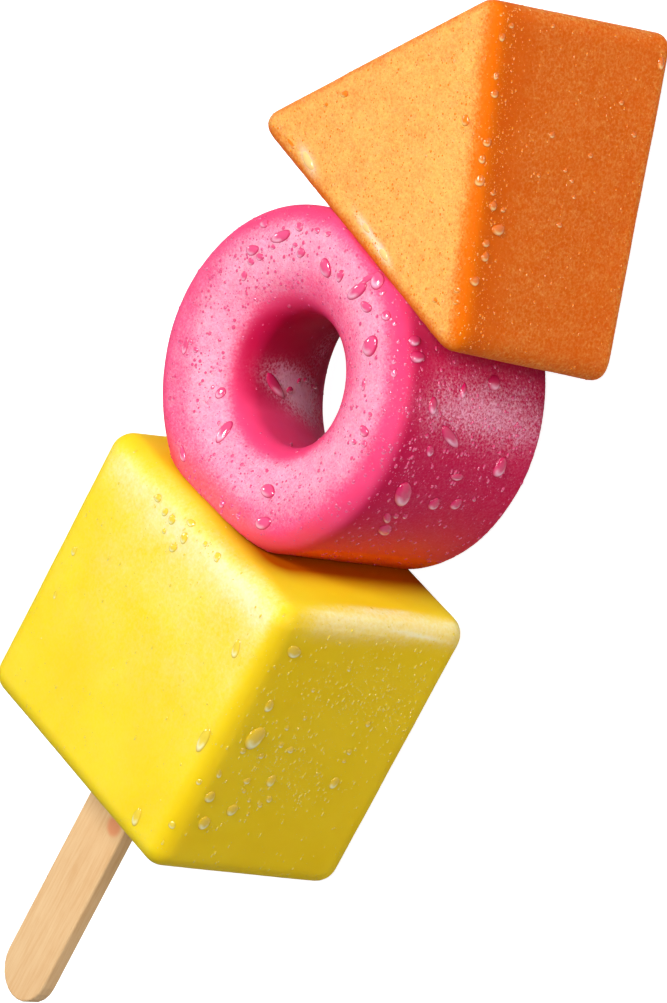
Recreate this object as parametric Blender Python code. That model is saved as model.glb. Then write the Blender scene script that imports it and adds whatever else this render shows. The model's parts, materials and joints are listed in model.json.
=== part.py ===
"""Ice lolly of three stacked ice shapes on a wooden stick, lying on its back.

The block, the ring and the wedge are frozen one on top of the other along +Y,
with the stick coming out of the block towards -Y. The front faces look up
(+Z), and the backs of the block and the wedge lie flat on Z = 0.
"""

import math

import bmesh
import bpy
from mathutils import Matrix, Vector

# Space kept between two pieces that are frozen together.
GAP = 0.0003

# Yellow block: a rounded box whose two ends flare a little towards the back.
BLOCK_WIDTH = 0.0476
BLOCK_LENGTH = 0.04455
BLOCK_DEPTH = 0.0359
BLOCK_FOOT_FLARE = 0.0238
BLOCK_HEAD_FLARE = 0.0173
BLOCK_ROUNDING = 0.0033

# Pink ring: a turned shape with a straight rim and a hole that flares both ways.
RING_CENTRE = Vector((-0.00426, 0.06566, 0.01694))
RING_RADIUS = 0.02450
RING_DEPTH = 0.0297
RING_THROAT_RADIUS = 0.00946
RING_THROAT_HEIGHT = 0.0086
RING_FRONT_ROUNDING = 0.0037
RING_BACK_ROUNDING = 0.0008
RING_TURN_X = math.radians(-1.4)
RING_TURN_Y = math.radians(2.5)

# How far in front of the wedge the flat that it sits on runs up the ring.
RING_FLAT_BEYOND_WEDGE = 0.0020

# Amber wedge: a triangular prism, its corners given where the sides would meet.
WEDGE_CORNERS = (
    Vector((-0.02977, 0.09161)),
    Vector((0.02480, 0.08453)),
    Vector((0.00307, 0.13283)),
)
WEDGE_CORNER_RADII = (0.00244, 0.00325, 0.00276)
WEDGE_DEPTH = 0.03158
WEDGE_TAPER = 0.84
WEDGE_LEAN = Vector((-0.027, 0.005))
WEDGE_FRONT_SLOPE = Vector((-0.072, 0.070))
WEDGE_RIM_ROUNDING = 0.0024

# Wooden stick: a flat strip with full round ends, halfway up the block's depth.
STICK_WIDTH = 0.0100
STICK_THICKNESS = 0.0025
STICK_LENGTH = 0.0830
STICK_SHOWN = 0.0427
STICK_CENTRE_X = -0.0053
STICK_EDGE = 0.0003

# Fineness of the curved surfaces.
EDGE_SEGMENTS = 6
STICK_EDGE_SEGMENTS = 2
RING_STEPS = 88
ARC_STEPS = 9
STICK_END_STEPS = 12
SHARP_ANGLE = math.radians(40)

# Colour and roughness of each material.
YELLOW_ICE = ((0.93, 0.74, 0.05), 0.35)
PINK_ICE = ((0.86, 0.06, 0.20), 0.35)
AMBER_ICE = ((0.93, 0.36, 0.05), 0.40)
PALE_WOOD = ((0.76, 0.55, 0.32), 0.60)


def clear_scene():
    """Remove every object and mesh that the scene starts with."""
    for item in list(bpy.data.objects):
        bpy.data.objects.remove(item, do_unlink=True)


def make_material(name, look):
    """Return a Principled material with a look of colour and roughness."""
    colour, roughness = look
    material = bpy.data.materials.new(name)
    material.use_nodes = True
    shader = material.node_tree.nodes["Principled BSDF"]
    shader.inputs["Base Color"].default_value = (*colour, 1.0)
    shader.inputs["Roughness"].default_value = roughness
    shader.inputs["Metallic"].default_value = 0.0
    material.diffuse_color = (*colour, 1.0)
    return material


def add_object(name, shape, material=None):
    """Turn a bmesh into a smooth-shaded object in the scene."""
    bmesh.ops.recalc_face_normals(shape, faces=shape.faces)
    mesh = bpy.data.meshes.new(name)
    shape.to_mesh(mesh)
    shape.free()
    mesh.shade_smooth()
    mesh.set_sharp_from_angle(angle=SHARP_ANGLE)
    if material is not None:
        mesh.materials.append(material)
    item = bpy.data.objects.new(name, mesh)
    bpy.context.scene.collection.objects.link(item)
    return item


def loft(lower, upper):
    """Return a closed bmesh between two matching rows of points."""
    shape = bmesh.new()
    below = [shape.verts.new(point) for point in lower]
    above = [shape.verts.new(point) for point in upper]
    count = len(below)
    for i in range(count):
        j = (i + 1) % count
        shape.faces.new((below[i], below[j], above[j], above[i]))
    shape.faces.new(list(reversed(below)))
    shape.faces.new(above)
    shape.normal_update()
    return shape


def round_edges(shape, edges, setback):
    """Round edges of a convex bmesh, starting the curve at a setback from each."""
    bmesh.ops.bevel(
        shape,
        geom=list(edges),
        offset=setback,
        offset_type="OFFSET",
        segments=EDGE_SEGMENTS,
        profile=0.5,
        affect="EDGES",
        clamp_overlap=True,
    )


def block_head_y(z):
    """Height along Y of the block's upper end at depth z."""
    return BLOCK_LENGTH + BLOCK_HEAD_FLARE * (BLOCK_DEPTH - z)


def block_foot_y(z):
    """Height along Y of the block's lower end at depth z."""
    return -BLOCK_FOOT_FLARE * (BLOCK_DEPTH - z)


def block_section(z):
    """Corners of the block's outline at depth z, before rounding."""
    half = BLOCK_WIDTH / 2
    return [
        Vector((-half, block_foot_y(z), z)),
        Vector((half, block_foot_y(z), z)),
        Vector((half, block_head_y(z), z)),
        Vector((-half, block_head_y(z), z)),
    ]


def make_block(material):
    """Build the rounded block."""
    shape = loft(block_section(0.0), block_section(BLOCK_DEPTH))
    round_edges(shape, shape.edges, BLOCK_ROUNDING)
    return add_object("yellow_block", shape, material)


def arc(centre, radii, start, end):
    """Points (radius, height) on an elliptical arc, both ends included."""
    points = []
    for step in range(ARC_STEPS + 1):
        angle = math.radians(start + (end - start) * step / ARC_STEPS)
        points.append(
            (
                centre[0] + radii[0] * math.cos(angle),
                centre[1] + radii[1] * math.sin(angle),
            )
        )
    return points


def ring_profile():
    """Closed section of the ring as (radius, height) about its centre."""
    top = RING_DEPTH / 2
    throat = RING_THROAT_RADIUS
    level = RING_THROAT_HEIGHT
    front_crest = RING_RADIUS - RING_FRONT_ROUNDING
    back_crest = RING_RADIUS - RING_BACK_ROUNDING
    points = arc(
        (front_crest, top - RING_FRONT_ROUNDING),
        (RING_FRONT_ROUNDING, RING_FRONT_ROUNDING),
        0,
        90,
    )
    points += arc((front_crest, level), (front_crest - throat, top - level), 90, 180)[1:]
    points += arc((back_crest, level), (back_crest - throat, top + level), 180, 270)[1:]
    points += arc(
        (back_crest, RING_BACK_ROUNDING - top),
        (RING_BACK_ROUNDING, RING_BACK_ROUNDING),
        270,
        360,
    )[1:]
    return points


def make_ring(material):
    """Turn the ring's section about its axis and set it in place."""
    shape = bmesh.new()
    verts = [shape.verts.new((radius, 0.0, height)) for radius, height in ring_profile()]
    edges = [
        shape.edges.new((verts[i], verts[(i + 1) % len(verts)])) for i in range(len(verts))
    ]
    bmesh.ops.spin(
        shape,
        geom=verts + edges,
        cent=(0.0, 0.0, 0.0),
        axis=(0.0, 0.0, 1.0),
        angle=math.tau,
        steps=RING_STEPS,
        use_merge=True,
    )
    ring = add_object("pink_ring", shape, material)
    ring.matrix_world = (
        Matrix.Translation(RING_CENTRE)
        @ Matrix.Rotation(RING_TURN_X, 4, "X")
        @ Matrix.Rotation(RING_TURN_Y, 4, "Y")
    )
    return ring


def wedge_point(corner, z):
    """Where the side edge through a back corner is at depth z."""
    middle = sum(WEDGE_CORNERS, Vector((0.0, 0.0))) / 3
    return middle + (corner - middle) * (1 - WEDGE_TAPER * z) + WEDGE_LEAN * z


def wedge_front_z(point):
    """Depth of the sloping front face above a point."""
    middle = sum(WEDGE_CORNERS, Vector((0.0, 0.0))) / 3
    return WEDGE_DEPTH + WEDGE_FRONT_SLOPE.dot(point - middle)


def edge_rise(edge):
    """How far an edge climbs along Z."""
    return abs(edge.verts[0].co.z - edge.verts[1].co.z)


def make_wedge(material):
    """Build the rounded triangular wedge."""
    lower = [Vector((*corner, 0.0)) for corner in WEDGE_CORNERS]
    upper = []
    for corner in WEDGE_CORNERS:
        z = wedge_front_z(corner)
        upper.append(Vector((*wedge_point(corner, z), z)))
    shape = loft(lower, upper)
    for foot, radius in zip(lower, WEDGE_CORNER_RADII):
        side = min(
            (edge for edge in shape.edges if edge_rise(edge) > WEDGE_DEPTH / 2),
            key=lambda edge: min((vert.co - foot).length for vert in edge.verts),
        )
        round_edges(shape, [side], radius * math.tan(side.calc_face_angle() / 2))
    rims = [edge for edge in shape.edges if edge_rise(edge) < WEDGE_DEPTH / 2]
    round_edges(shape, rims, WEDGE_RIM_ROUNDING)
    return add_object("amber_wedge", shape, material)


def strip_outline(width, start, end):
    """Outline of a strip along Y, from start to end, with half-circle ends."""
    half = width / 2
    points = []
    for step in range(STICK_END_STEPS + 1):
        angle = math.pi + math.pi * step / STICK_END_STEPS
        points.append((half * math.cos(angle), start + half + half * math.sin(angle)))
    for step in range(STICK_END_STEPS + 1):
        angle = math.pi * step / STICK_END_STEPS
        points.append((half * math.cos(angle), end - half + half * math.sin(angle)))
    return points


def strip_shape(extra):
    """Bmesh of the stick, grown on all sides by extra."""
    start = -STICK_SHOWN - extra
    end = STICK_LENGTH - STICK_SHOWN + extra
    outline = strip_outline(STICK_WIDTH + 2 * extra, start, end)
    half = STICK_THICKNESS / 2 + extra
    level = BLOCK_DEPTH / 2
    lower = [Vector((STICK_CENTRE_X + x, y, level - half)) for x, y in outline]
    upper = [Vector((STICK_CENTRE_X + x, y, level + half)) for x, y in outline]
    return loft(lower, upper)


def make_stick(material):
    """Build the stick with slightly softened edges."""
    shape = strip_shape(0.0)
    rims = [edge for edge in shape.edges if edge.verts[0].co.z == edge.verts[1].co.z]
    bmesh.ops.bevel(
        shape,
        geom=rims,
        offset=STICK_EDGE,
        offset_type="OFFSET",
        segments=STICK_EDGE_SEGMENTS,
        profile=0.5,
        affect="EDGES",
        clamp_overlap=True,
    )
    return add_object("wooden_stick", shape, material)


def cut(target, tool):
    """Subtract a hidden tool from a target."""
    tool.hide_render = True
    tool.display_type = "WIRE"
    modifier = target.modifiers.new(tool.name, "BOOLEAN")
    modifier.operation = "DIFFERENCE"
    modifier.solver = "EXACT"
    modifier.object = tool


def block_head_tool():
    """Slab under the ring, reaching the gap past the block's upper end."""
    half = BLOCK_WIDTH / 2
    lower = []
    upper = []
    for x, y_end in ((-half, False), (half, False), (half, True), (-half, True)):
        for points, z in ((lower, -BLOCK_DEPTH), (upper, 2 * BLOCK_DEPTH)):
            y = block_head_y(z) + GAP if y_end else 0.0
            points.append(Vector((x, y, z)))
    return add_object("ring_seat_tool", loft(lower, upper))


def wedge_side_tool():
    """Slab over the ring, reaching the gap past the wedge's side that faces it."""
    left, right = WEDGE_CORNERS[0], WEDGE_CORNERS[1]
    rows = []
    for left_z, right_z in (
        (-WEDGE_DEPTH, -WEDGE_DEPTH),
        (
            wedge_front_z(left) + RING_FLAT_BEYOND_WEDGE,
            wedge_front_z(right) + RING_FLAT_BEYOND_WEDGE,
        ),
    ):
        start = wedge_point(left, left_z)
        end = wedge_point(right, right_z)
        along = (end - start).normalized()
        outward = Vector((along.y, -along.x))
        inward = -outward * BLOCK_LENGTH
        start += outward * GAP
        end += outward * GAP
        rows.append(
            [
                Vector((*start, left_z)),
                Vector((*end, right_z)),
                Vector((*(end + inward), right_z)),
                Vector((*(start + inward), left_z)),
            ]
        )
    return add_object("ring_top_tool", loft(*rows))


def centre_on_origin(pieces, tools):
    """Move everything so that the origin is under the middle of the pieces."""
    bpy.context.view_layer.update()
    graph = bpy.context.evaluated_depsgraph_get()
    corners = []
    for piece in pieces:
        evaluated = piece.evaluated_get(graph)
        mesh = evaluated.to_mesh()
        corners += [evaluated.matrix_world @ vert.co for vert in mesh.vertices]
        evaluated.to_mesh_clear()
    low = [min(point[axis] for point in corners) for axis in range(3)]
    high = [max(point[axis] for point in corners) for axis in range(3)]
    shift = Vector((-(low[0] + high[0]) / 2, -(low[1] + high[1]) / 2, -low[2]))
    for item in pieces + tools:
        item.matrix_world = Matrix.Translation(shift) @ item.matrix_world
    bpy.context.view_layer.update()


def main():
    """Build the lolly."""
    clear_scene()
    block = make_block(make_material("yellow_ice", YELLOW_ICE))
    ring = make_ring(make_material("pink_ice", PINK_ICE))
    wedge = make_wedge(make_material("amber_ice", AMBER_ICE))
    stick = make_stick(make_material("pale_wood", PALE_WOOD))
    seat_tool = block_head_tool()
    top_tool = wedge_side_tool()
    slot_tool = add_object("stick_slot_tool", strip_shape(GAP))
    cut(ring, seat_tool)
    cut(ring, top_tool)
    cut(block, slot_tool)
    centre_on_origin([block, ring, wedge, stick], [seat_tool, top_tool, slot_tool])


main()
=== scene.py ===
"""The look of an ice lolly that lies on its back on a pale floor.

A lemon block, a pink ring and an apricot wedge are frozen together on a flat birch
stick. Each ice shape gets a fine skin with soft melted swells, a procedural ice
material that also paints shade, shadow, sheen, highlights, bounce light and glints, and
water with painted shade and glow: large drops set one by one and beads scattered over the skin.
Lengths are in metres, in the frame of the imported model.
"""

import json
import logging
import math
import random
from dataclasses import dataclass
from enum import Enum

import bmesh
import bpy
import numpy as np
from mathutils import Matrix, Vector
from mathutils.bvhtree import BVHTree


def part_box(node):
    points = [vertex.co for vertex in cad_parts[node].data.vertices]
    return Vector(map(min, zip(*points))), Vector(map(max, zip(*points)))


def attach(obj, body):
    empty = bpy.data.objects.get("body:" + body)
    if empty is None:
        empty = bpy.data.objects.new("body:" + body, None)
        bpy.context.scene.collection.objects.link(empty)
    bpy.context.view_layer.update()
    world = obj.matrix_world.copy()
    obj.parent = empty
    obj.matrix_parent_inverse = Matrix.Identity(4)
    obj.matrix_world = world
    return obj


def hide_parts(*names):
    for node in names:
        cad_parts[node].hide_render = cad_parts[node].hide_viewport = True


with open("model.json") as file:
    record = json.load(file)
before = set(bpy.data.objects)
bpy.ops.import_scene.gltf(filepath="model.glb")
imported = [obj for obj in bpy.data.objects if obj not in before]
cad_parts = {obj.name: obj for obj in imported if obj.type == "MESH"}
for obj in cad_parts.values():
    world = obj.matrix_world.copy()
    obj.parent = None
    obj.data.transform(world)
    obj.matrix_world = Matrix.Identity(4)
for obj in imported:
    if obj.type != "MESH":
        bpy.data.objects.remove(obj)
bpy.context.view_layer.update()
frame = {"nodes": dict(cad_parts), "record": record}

log = logging.getLogger("ice_lolly")

Socket = bpy.types.NodeSocket
Colour = tuple[float, float, float]
Pair = tuple[float, float]  # two ends, a middle and a width, or a place
Plane = tuple[Vector, Vector]
MM = 0.001
MIDDLE = 0.5
WHITE = (1.0, 1.0, 1.0, 1.0)
ROUNDING_STEPS = 14
FLOAT, VECTOR = "NodeSocketFloat", "NodeSocketVector"
GEOMETRY, MATERIAL = "NodeSocketGeometry", "NodeSocketMaterial"
BODY = "root"


def paint(red: int, green: int, blue: int) -> Colour:
    """Return the linear colour of an 8-bit display colour."""
    return tuple(
        c / 12.92 if c <= 0.04045 else ((c + 0.055) / 1.055) ** 2.4
        for c in (red / 255, green / 255, blue / 255)
    )


def smooth(values: np.ndarray, low: float, high: float, least: float = 0.0) -> np.ndarray:
    """Return a soft step that goes from the least value at low to 1 at high."""
    t = np.clip((values - low) / (high - low), 0.0, 1.0)
    return least + (1 - least) * t * t * (3 - 2 * t)


def bell(values: np.ndarray, middle: float, width: float) -> np.ndarray:
    """Return a soft hump that is 1 at the middle."""
    return np.exp(-(((values - middle) / width) ** 2))


class NodePad:
    """Adds nodes to a node tree, sets their sockets and links them."""

    SPACING = 200

    def __init__(self, tree: bpy.types.NodeTree) -> None:
        """Keep the tree and start at its left edge."""
        self.tree = tree
        self.column = 0

    def fill(self, node: bpy.types.Node, sockets: dict) -> None:
        """Set or link a node's inputs, given by name or number."""
        for key, value in sockets.items():
            if isinstance(value, Socket):
                self.tree.links.new(value, node.inputs[key])
            else:
                node.inputs[key].default_value = value

    def add(self, kind: str, sockets: dict | None = None, **settings) -> bpy.types.Node:
        """Add a node.

        Args:
            kind: Blender's type name of the node.
            sockets: values or output sockets for the node's inputs, by name or number.
            **settings: properties of the node itself.

        Returns:
            The new node.
        """
        node = self.tree.nodes.new(kind)
        node.location = (self.column * self.SPACING, 0)
        self.column += 1
        for name, value in settings.items():
            setattr(node, name, value)
        self.fill(node, sockets or {})
        return node

    def math(self, operation: str, *values) -> Socket:
        """Add a Math node and return its output."""
        return self.add("ShaderNodeMath", dict(enumerate(values)), operation=operation).outputs[0]

    def step(self, value, low, high) -> Socket:
        """Add a soft step from low to high and return its output."""
        sockets = {"Value": value, "From Min": low, "From Max": high}
        node = self.add("ShaderNodeMapRange", sockets, interpolation_type="SMOOTHSTEP")
        return node.outputs["Result"]

    def blend(self, factor, first, second) -> Socket:
        """Mix two colours by a factor and return the result."""
        first, second = (
            (*value, 1.0) if isinstance(value, tuple) else value for value in (first, second)
        )
        sockets = {0: factor, 6: first, 7: second}
        return self.add("ShaderNodeMix", sockets, data_type="RGBA").outputs[2]

    def between(self, factor, first: float, second: float) -> Socket:
        """Mix two numbers by a factor and return the result."""
        sockets = {0: factor, 2: first, 3: second}
        return self.add("ShaderNodeMix", sockets, data_type="FLOAT").outputs[0]

    def place(self) -> Socket:
        """Return the Object coordinates."""
        return self.add("ShaderNodeTexCoord").outputs["Object"]

    def attribute(self, name: str) -> Socket:
        """Return the value of a named attribute of the mesh."""
        return self.add("ShaderNodeAttribute", attribute_name=name).outputs["Fac"]

    def noise(self, vector: Socket, scale, sockets: dict, **settings) -> Socket:
        """Add a noise and return its value."""
        sockets = {"Vector": vector, "Scale": scale, **sockets}
        return self.add("ShaderNodeTexNoise", sockets, **settings).outputs["Fac"]

    def bump(self, height: Socket, strength: float, distance: float) -> Socket:
        """Add a bump and return its normal."""
        sockets = {"Height": height, "Strength": strength, "Distance": distance}
        return self.add("ShaderNodeBump", sockets).outputs["Normal"]


def new_group(name: str, kind: str, inputs: dict, outputs: dict) -> tuple:
    """Make an empty node group with named sockets.

    Args:
        name: the group's name.
        kind: Blender's type name of the tree.
        inputs: socket type by input name.
        outputs: socket type by output name.

    Returns:
        A pad on the tree, the sockets that give its inputs and its output node.
    """
    tree = bpy.data.node_groups.new(name, kind)
    for way, sockets in (("INPUT", inputs), ("OUTPUT", outputs)):
        for label, socket in sockets.items():
            tree.interface.new_socket(label, in_out=way, socket_type=socket)
    given = tree.nodes.new("NodeGroupInput").outputs
    return NodePad(tree), given, tree.nodes.new("NodeGroupOutput")


def make_frost_group() -> bpy.types.NodeTree:
    """Build the shader group that breaks a frosty cover with painted sheen up into grains and
    clumps.
    """
    amounts = ("Cover", "Grit", "Grain", "Clump", "Contrast", "Mottle", "Softness")
    pad, given, result = new_group(
        "frost_and_sheen_grain",
        "ShaderNodeTree",
        {"Vector": VECTOR, **dict.fromkeys(amounts, FLOAT)},
        {"Frost": FLOAT, "Height": FLOAT},
    )
    pit_size, pit_share, pit_mean, full_cover = 0.6, 0.3, 0.12, 4.0

    def noise(size: Socket, roughness: float) -> Socket:
        """Return a noise whose features have a size."""
        scale = pad.math("DIVIDE", 1.0, size)
        return pad.noise(given["Vector"], scale, {"Detail": 3.0, "Roughness": roughness})

    fine = noise(given["Grain"], 0.65)
    clump = noise(given["Clump"], 0.6)
    pits = pad.add(
        "ShaderNodeTexVoronoi",
        {"Vector": given["Vector"], "Scale": pad.math("DIVIDE", pit_size, given["Grain"])},
    ).outputs["Distance"]
    pitted = pad.math("MULTIPLY", pits, pit_share)
    grain = pad.math("ADD", pad.math("SUBTRACT", fine, MIDDLE), pitted)
    grain = pad.math("MULTIPLY", pad.math("SUBTRACT", grain, pit_mean), given["Contrast"])
    grain = pad.math("MULTIPLY", grain, given["Grit"])
    centred = pad.math("SUBTRACT", clump, MIDDLE)
    total = pad.math("MULTIPLY_ADD", centred, given["Mottle"], grain)
    presence = pad.math("MINIMUM", pad.math("MULTIPLY", given["Cover"], full_cover), 1.0)
    signal = pad.math("MULTIPLY_ADD", total, presence, given["Cover"])
    half = pad.math("MULTIPLY", given["Softness"], 0.5)
    low, high = (pad.math(operation, MIDDLE, half) for operation in ("SUBTRACT", "ADD"))
    frost_and_sheen = pad.step(signal, low, high)
    height = pad.math("MULTIPLY", pad.math("ADD", fine, pits), frost_and_sheen)
    pad.fill(result, {"Frost": frost_and_sheen, "Height": height})
    return pad.tree


def make_cloud_group() -> bpy.types.NodeTree:
    """Build the shader group for the slow cloudy change of colour inside ice and wood."""
    pad, given, result = new_group(
        "inner_cloud",
        "ShaderNodeTree",
        {"Vector": VECTOR, "Size": FLOAT, "Contrast": FLOAT},
        {"Factor": FLOAT},
    )
    scale = pad.math("DIVIDE", 1.0, given["Size"])
    sockets = {"Detail": 4.0, "Roughness": 0.5, "Distortion": 0.4}
    noise = pad.noise(given["Vector"], scale, sockets)
    spread = pad.math("MULTIPLY", pad.math("SUBTRACT", noise, MIDDLE), given["Contrast"])
    factor = pad.add("ShaderNodeClamp", {"Value": pad.math("ADD", spread, MIDDLE)})
    pad.fill(result, {"Factor": factor.outputs[0]})
    return pad.tree


@dataclass(frozen=True)
class ShaderGroups:
    """The node groups that several materials share."""

    frost_and_sheen: bpy.types.NodeTree
    cloud: bpy.types.NodeTree

    @classmethod
    def build(cls) -> "ShaderGroups":
        """Build each group once."""
        return cls(make_frost_group(), make_cloud_group())

    def clouds(self, pad: NodePad, vector: Socket, size: float, contrast: float) -> Socket:
        """Add the cloud group to a material's tree and return its factor."""
        sockets = {"Vector": vector, "Size": size, "Contrast": contrast}
        return pad.add("ShaderNodeGroup", sockets, node_tree=self.cloud).outputs["Factor"]


def new_material(name: str) -> tuple[bpy.types.Material, NodePad, bpy.types.Node]:
    """Make a material and return it with a pad on its tree and its Principled node."""
    material = bpy.data.materials.new(name)
    material.use_nodes = True
    pad = NodePad(material.node_tree)
    return material, pad, material.node_tree.nodes["Principled BSDF"]


@dataclass(frozen=True)
class IceFinish:
    """Frozen fruit ice: a clouded body, wet edges, a pale broken frosty cover, painted light and
    shade.
    """

    name: str
    deep: Colour
    body: Colour
    # Wet rims; on the ring also painted shade in the lee, on the side wall and in the hole.
    edge: Colour
    # The pale cover: a frosty haze that is also painted sheen and highlights where light glances.
    frost_and_sheen: Colour
    # Painted shadow, painted bounce light and painted glints, laid on by an attribute of the same
    # name.
    painted_light_and_shade: Colour
    grain: float = 0.35 * MM
    clump: float = 3.0 * MM
    contrast: float = 2.2
    mottle: float = 0.5
    softness: float = 0.9
    cloud_size: float = 11.0 * MM
    cloud_contrast: float = 2.0
    glow: Colour = (1.0, 0.3, 0.3)
    glow_weight: float = 0.35
    glow_depth: float = 3.0 * MM
    wet_roughness: float = 0.42
    frost_roughness: float = 0.55
    relief: float = 0.05 * MM
    relief_strength: float = 0.6
    ior: float = 1.31
    shine: float = 0.06

    def material(self, groups: ShaderGroups) -> bpy.types.Material:
        """Build the material with the shared node groups."""
        material, pad, shader = new_material(self.name)
        place = pad.place()
        sockets = {
            "Vector": place,
            "Cover": pad.attribute("frost_and_sheen"),
            "Grit": pad.attribute("grit"),
            "Grain": self.grain,
            "Clump": self.clump,
            "Contrast": self.contrast,
            "Mottle": self.mottle,
            "Softness": self.softness,
        }
        frost_and_sheen = pad.add("ShaderNodeGroup", sockets, node_tree=groups.frost_and_sheen).outputs
        cloud = groups.clouds(pad, place, self.cloud_size, self.cloud_contrast)
        colour = pad.blend(cloud, self.deep, self.body)
        # Wet rims, and painted shade on the ring.
        colour = pad.blend(pad.attribute("edge"), colour, self.edge)
        colour = pad.blend(frost_and_sheen["Frost"], colour, self.frost_and_sheen)
        # Painted shadow, bounce light and glints.
        colour = pad.blend(pad.attribute("painted_light_and_shade"), colour, self.painted_light_and_shade)
        sockets = {
            "Base Color": colour,
            "Roughness": pad.between(frost_and_sheen["Frost"], self.wet_roughness, self.frost_roughness),
            "Normal": pad.bump(frost_and_sheen["Height"], self.relief_strength, self.relief),
            "IOR": self.ior,
            "Specular IOR Level": self.shine,
            "Subsurface Weight": self.glow_weight,
            "Subsurface Radius": self.glow,
            "Subsurface Scale": self.glow_depth,
        }
        pad.fill(shader, sockets)
        return material


@dataclass(frozen=True)
class WaterFinish:
    """Opaque melt water on coloured ice: painted shade at its rim, a painted glow where light
    gathers.
    """

    name: str
    # Painted shade: the drop's dark outline and its darker side.
    rim: Colour
    body: Colour
    # Painted glow: light that would gather in the drop.
    painted_glow: Colour
    cloud_size: float = 2.0 * MM
    cloud_contrast: float = 1.2
    cloud_share: float = 0.3
    roughness: float = 0.05
    ior: float = 1.45
    shine: float = 1.0

    def material(self, groups: ShaderGroups) -> bpy.types.Material:
        """Build the material with the shared node groups."""
        material, pad, shader = new_material(self.name)
        cloud = groups.clouds(pad, pad.place(), self.cloud_size, self.cloud_contrast)
        body = pad.blend(pad.math("MULTIPLY", cloud, self.cloud_share), self.body, self.rim)
        colour = pad.blend(pad.attribute("rim"), body, self.rim)
        sockets = {
            "Base Color": pad.blend(pad.attribute("painted_glow"), colour, self.painted_glow),
            "Roughness": self.roughness,
            "IOR": self.ior,
            "Specular IOR Level": self.shine,
        }
        pad.fill(shader, sockets)
        return material


@dataclass(frozen=True)
class BirchFinish:
    """Pale bare birch with fine grain along Y and a fruit stain where it meets the ice."""

    name: str
    light: Colour
    dark: Colour
    stain: Colour
    stain_at: Vector
    stain_radius: float = 1.5 * MM
    stain_fade: Pair = (1.6, 0.9)
    stain_ragged: float = 0.8 * MM
    stretch: float = 0.06
    fibre_scale: float = 2200.0
    streaks: Pair = (0.38, 0.66)
    streak_share: float = 0.35
    band_size: float = 2.6 * MM
    band_contrast: float = 2.2
    band_share: float = 0.35
    mottle_size: float = 5.0 * MM
    mottle_contrast: float = 1.6
    mottle_share: float = 0.25
    roughness: Pair = (0.62, 0.78)
    relief: float = 0.08 * MM
    relief_strength: float = 0.35

    def material(self, groups: ShaderGroups) -> bpy.types.Material:
        """Build the material with the shared node groups."""
        material, pad, shader = new_material(self.name)
        place = pad.place()
        sockets = {"Vector": place, "Scale": (1.0, self.stretch, 1.0)}
        along = pad.add("ShaderNodeMapping", sockets).outputs[0]
        fibre = pad.noise(along, self.fibre_scale, {"Detail": 5.0, "Roughness": 0.65})
        band = groups.clouds(pad, along, self.band_size, self.band_contrast)
        mottle = groups.clouds(pad, place, self.mottle_size, self.mottle_contrast)
        streak = pad.step(fibre, *self.streaks)
        factor = pad.math("MULTIPLY", band, self.band_share)
        factor = pad.math("MULTIPLY_ADD", streak, self.streak_share, factor)
        factor = pad.math("MULTIPLY_ADD", mottle, self.mottle_share, factor)
        colour = pad.blend(factor, self.light, self.dark)
        sockets = {0: place, 1: tuple(self.stain_at)}
        far = pad.add("ShaderNodeVectorMath", sockets, operation="DISTANCE").outputs["Value"]
        ragged = pad.math("MULTIPLY_ADD", fibre, self.stain_ragged, far)
        stain = pad.step(ragged, *(self.stain_radius * share for share in self.stain_fade))
        sockets = {
            "Base Color": pad.blend(stain, colour, self.stain),
            "Roughness": pad.between(streak, *self.roughness),
            "Normal": pad.bump(fibre, self.relief_strength, self.relief),
        }
        pad.fill(shader, sockets)
        return material


def finish_tree(pad: NodePad, geometry: Socket, given, result) -> bpy.types.NodeTree:
    """End a Geometry Nodes tree: real faces, in the given material.

    Args:
        pad: the pad on the tree.
        geometry: what the tree has made.
        given: the sockets that give the tree's inputs.
        result: its output node.

    Returns:
        The finished tree.
    """
    real = pad.add("GeometryNodeRealizeInstances", {"Geometry": geometry}).outputs[0]
    sockets = {"Geometry": real, "Material": given["Material"]}
    pad.fill(result, {"Geometry": pad.add("GeometryNodeSetMaterial", sockets).outputs[0]})
    return pad.tree


def make_skin_tree() -> bpy.types.NodeTree:
    """Build the Geometry Nodes tree that gives a shape its melted swells."""
    amounts = ("Swell", "Swell Size", "Pit", "Pit Size", "Seed")
    pad, given, result = new_group(
        "melted_skin",
        "GeometryNodeTree",
        {"Geometry": GEOMETRY, **dict.fromkeys(amounts, FLOAT), "Material": MATERIAL},
        {"Geometry": GEOMETRY},
    )
    place = pad.add("GeometryNodeInputPosition").outputs[0]
    normal = pad.add("GeometryNodeInputNormal").outputs["Normal"]
    heights = []
    for amount, size in (("Swell", "Swell Size"), ("Pit", "Pit Size")):
        scale = pad.math("DIVIDE", 1.0, given[size])
        sockets = {"W": given["Seed"], "Detail": 1.5}
        noise = pad.noise(place, scale, sockets, noise_dimensions="4D")
        centred = pad.math("SUBTRACT", noise, MIDDLE)
        heights.append(pad.math("MULTIPLY", centred, given[amount]))
    sockets = {0: normal, "Scale": pad.math("ADD", *heights)}
    offset = pad.add("ShaderNodeVectorMath", sockets, operation="SCALE").outputs[0]
    sockets = {"Geometry": given["Geometry"], "Offset": offset}
    moved = pad.add("GeometryNodeSetPosition", sockets).outputs[0]
    shaded = pad.add("GeometryNodeSetShadeSmooth", {"Geometry": moved}).outputs[0]
    return finish_tree(pad, shaded, given, result)


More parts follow.
